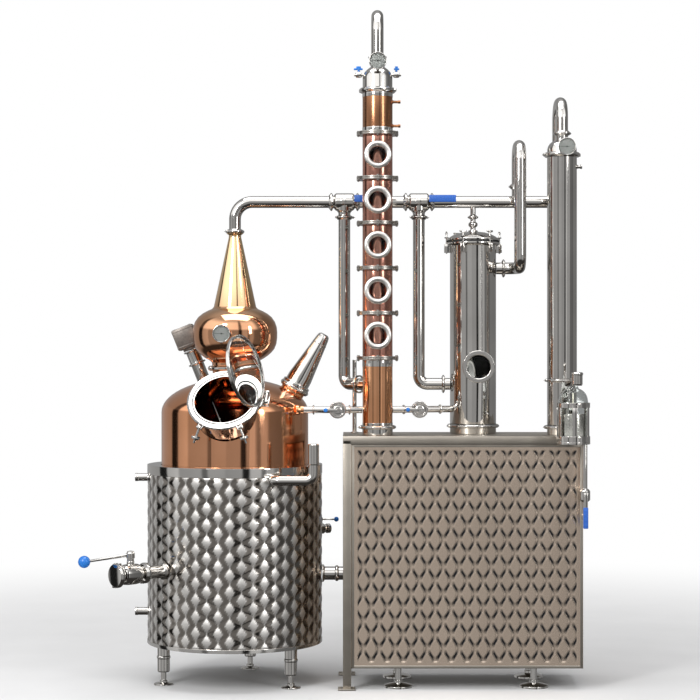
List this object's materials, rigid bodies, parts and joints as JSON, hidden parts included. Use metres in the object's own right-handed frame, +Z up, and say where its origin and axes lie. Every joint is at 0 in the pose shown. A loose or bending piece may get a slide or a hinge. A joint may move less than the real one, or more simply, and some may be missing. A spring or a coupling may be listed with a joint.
{
  "type": "alembic still",
  "caption": "Copper pot still in a quilted steel heating jacket, with an onion helmet, vapour line, plate column, botanical basket, condenser and spirit parrot on a clad cabinet",
  "frame": {"origin": "on the floor, under the middle of the whole still's box", "axes": "+Z up, -Y towards the front with the manway and sight glasses, +X to the right from the pot towards the condenser"},
  "size_m": [2.0016, 0.9192, 2.7118],
  "materials": {
    "copper": "polished copper",
    "polished_steel": "mirror-polished stainless steel",
    "satin_steel": "embossed and brushed stainless steel",
    "glass": "clear",
    "dark_paint": "satin grey paint",
    "blue_plastic": "matte"
  },
  "bodies": {
    "still": {"basket_lid": "polished_steel", "basket_outlet": "polished_steel", "basket_vessel": "polished_steel", "botanical_basket": "polished_steel", "cabinet": "satin_steel", "column_base": "copper", "column_head": "polished_steel", "condenser": "polished_steel", "condenser_coil": "copper", "condenser_head": "polished_steel", "dephlegmator": "copper", "drain_valve": "polished_steel", "drop_pipe_1": "polished_steel", "drop_pipe_2": "polished_steel", "gauge_column": "polished_steel", "gauge_condenser": "polished_steel", "gauge_helmet": "polished_steel", "gearmotor": "dark_paint", "heating_jacket": "satin_steel", "helmet": "copper", "jacket_valve": "polished_steel", "lyne_arm": "polished_steel", "manway_ring": "polished_steel", "parrot_glass": "glass", "parrot_holder": "polished_steel", "plate_section_1": "copper", "plate_section_2": "copper", "plate_section_3": "copper", "plate_section_4": "copper", "plate_section_5": "copper", "pot": "copper", "return_line_1": "polished_steel", "return_line_2": "polished_steel", "steam_pipe": "polished_steel", "swan_neck": "polished_steel", "table": "satin_steel", "vapour_pipe_end": "polished_steel", "vapour_pipe_middle": "polished_steel", "vapour_valve_1": "polished_steel", "vapour_valve_2": "polished_steel", "vent_cone": "polished_steel"},
    "manway_door": {"manway_door": "polished_steel", "manway_glass": "glass"},
    "swing_bolt_1": {"swing_bolt_1": "polished_steel"},
    "swing_bolt_2": {"swing_bolt_2": "polished_steel"},
    "agitator": {"agitator": "polished_steel"},
    "drain_lever": {"drain_lever": "polished_steel"},
    "jacket_lever": {"jacket_lever": "polished_steel"},
    "vapour_lever_1": {"vapour_lever_1": "polished_steel"},
    "vapour_lever_2": {"vapour_lever_2": "polished_steel"},
    "return_lever_1": {"return_lever_1": "polished_steel"},
    "return_lever_2": {"return_lever_2": "polished_steel"},
    "water_lever_left": {"water_lever_left": "blue_plastic"},
    "water_lever_right": {"water_lever_right": "blue_plastic"},
    "needle_helmet": {"needle_helmet": "dark_paint"},
    "needle_column": {"needle_column": "dark_paint"},
    "needle_condenser": {"needle_condenser": "dark_paint"},
    "parrot_lever": {"parrot_lever": "polished_steel"},
    "hydrometer": {"hydrometer": "glass"}
  },
  "joints": [
    {"name": "manway_hinge", "type": "hinge", "parent": "still", "child": "manway_door", "pos_m": [-0.27451, -0.21537, 1.15662], "axis": [0.0883, 0.656, 0.7496], "range_deg": [-70, 30]},
    {"name": "swing_bolt_1_pivot", "type": "hinge", "parent": "still", "child": "swing_bolt_1", "pos_m": [-0.53192, -0.26117, 1.04216], "axis": [0.8141, -0.4435, -0.3748], "range_deg": [-134, 15]},
    {"name": "swing_bolt_2_pivot", "type": "hinge", "parent": "still", "child": "swing_bolt_2", "pos_m": [-0.37335, -0.28251, 1.04216], "axis": [0.9024, 0.2125, 0.3748], "range_deg": [-134, 15]},
    {"name": "agitator_spin", "type": "hinge", "parent": "still", "child": "agitator", "pos_m": [-0.60099, 0.2246, 1.34553], "axis": [-0.37, 0, 0.929], "continuous": true},
    {"name": "drain_lever_pivot", "type": "hinge", "parent": "still", "child": "drain_lever", "pos_m": [-0.80129, -0.24321, 0.5324], "axis": [0, 0, 1], "range_deg": [-58, 32]},
    {"name": "jacket_lever_pivot", "type": "hinge", "parent": "still", "child": "jacket_lever", "pos_m": [-0.06946, 0.3041, 0.6304], "axis": [0, 0, 1], "range_deg": [0, 90]},
    {"name": "vapour_lever_1_pivot", "type": "hinge", "parent": "still", "child": "vapour_lever_1", "pos_m": [0.03, 0.0642, 1.945], "axis": [0, -1, 0], "range_deg": [0, 90]},
    {"name": "vapour_lever_2_pivot", "type": "hinge", "parent": "still", "child": "vapour_lever_2", "pos_m": [0.333, 0.0642, 1.945], "axis": [0, -1, 0], "range_deg": [0, 90]},
    {"name": "return_lever_1_pivot", "type": "hinge", "parent": "still", "child": "return_lever_1", "pos_m": [0.00383, -0.0778, 1.104], "axis": [0, -1, 0], "range_deg": [0, 90]},
    {"name": "return_lever_2_pivot", "type": "hinge", "parent": "still", "child": "return_lever_2", "pos_m": [0.33303, -0.01466, 1.104], "axis": [0, -1, 0], "range_deg": [0, 90]},
    {"name": "water_lever_left_pivot", "type": "hinge", "parent": "still", "child": "water_lever_left", "pos_m": [0.088, -0.0404, 2.4544], "axis": [0, 0, 1], "range_deg": [0, 90]},
    {"name": "water_lever_right_pivot", "type": "hinge", "parent": "still", "child": "water_lever_right", "pos_m": [0.238, -0.0404, 2.4544], "axis": [0, 0, 1], "range_deg": [0, 90]},
    {"name": "needle_helmet_turn", "type": "hinge", "parent": "still", "child": "needle_helmet", "pos_m": [-0.457, -0.1063, 1.408], "axis": [0, 1, 0], "range_deg": [0, 240]},
    {"name": "needle_column_turn", "type": "hinge", "parent": "still", "child": "needle_column", "pos_m": [0.163, -0.1093, 2.489], "axis": [0, 1, 0], "range_deg": [0, 240]},
    {"name": "needle_condenser_turn", "type": "hinge", "parent": "still", "child": "needle_condenser", "pos_m": [0.91, -0.1343, 2.147], "axis": [0, 1, 0], "range_deg": [0, 240]},
    {"name": "parrot_lever_pivot", "type": "hinge", "parent": "still", "child": "parrot_lever", "pos_m": [0.9705, -0.2438, 0.775], "axis": [0, -1, 0], "range_deg": [0, 90]},
    {"name": "hydrometer_float", "type": "slide", "parent": "still", "child": "hydrometer", "axis": [0, 0, 1], "range_m": [0, 0.015]}
  ]
}
